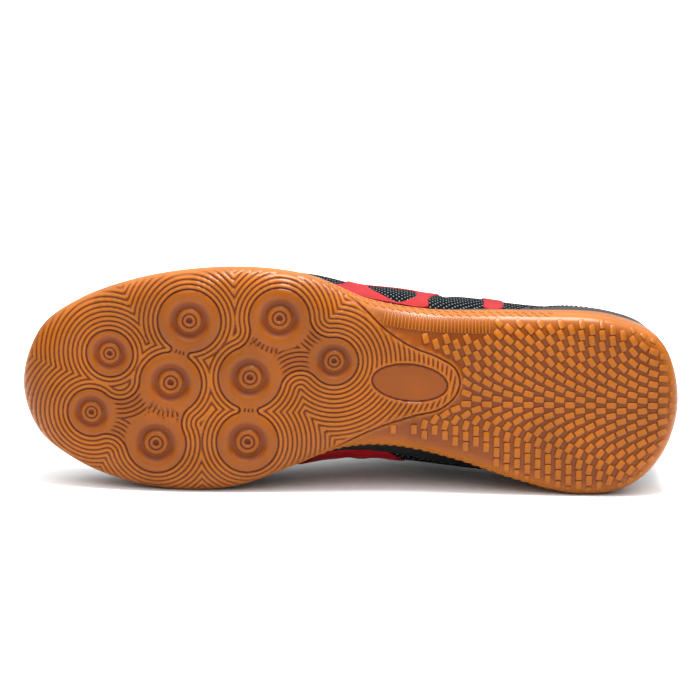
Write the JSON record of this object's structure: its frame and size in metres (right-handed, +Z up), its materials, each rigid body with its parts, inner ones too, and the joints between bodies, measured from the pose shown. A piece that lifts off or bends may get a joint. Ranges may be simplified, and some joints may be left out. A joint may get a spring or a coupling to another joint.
{
  "type": "indoor soccer shoe",
  "caption": "Left low-cut indoor soccer shoe lying on its side: hollow laced upper, padded tongue and gum rubber cup sole with round tread pods.",
  "frame": {"origin": "centre of the bounding box on the floor that the shoe lies on", "axes": "+Z up from the floor, towards the shoe's lateral side; +X towards the heel; -Y out of the tread, which faces the viewer at azimuth 0"},
  "size_m": [0.29, 0.1164, 0.0997],
  "materials": {
    "gum_rubber": "moulded gum rubber, satin",
    "black_mesh": "woven mesh, matte",
    "dark_lining": "knitted lining, matte",
    "black_synthetic": "smooth synthetic leather, satin",
    "red_film": "moulded glossy film",
    "black_lace": "flat woven lace, matte"
  },
  "bodies": {
    "root": {"outsole": "gum_rubber", "upper": "black_mesh", "insole": "dark_lining", "tongue": "black_mesh", "eyestay_medial": "black_synthetic", "eyestay_lateral": "black_synthetic", "toe_cap": "black_synthetic", "heel_counter": "black_synthetic", "quarter_band_medial": "red_film", "quarter_band_lateral": "red_film", "eyelet_lateral_1": "black_synthetic", "eyelet_lateral_2": "black_synthetic", "eyelet_lateral_3": "black_synthetic", "eyelet_lateral_4": "black_synthetic", "eyelet_lateral_5": "black_synthetic", "eyelet_lateral_6": "black_synthetic", "eyelet_medial_1": "black_synthetic", "eyelet_medial_2": "black_synthetic", "eyelet_medial_3": "black_synthetic", "eyelet_medial_4": "black_synthetic", "eyelet_medial_5": "black_synthetic", "eyelet_medial_6": "black_synthetic", "lace": "black_lace"}
  },
  "joints": []
}
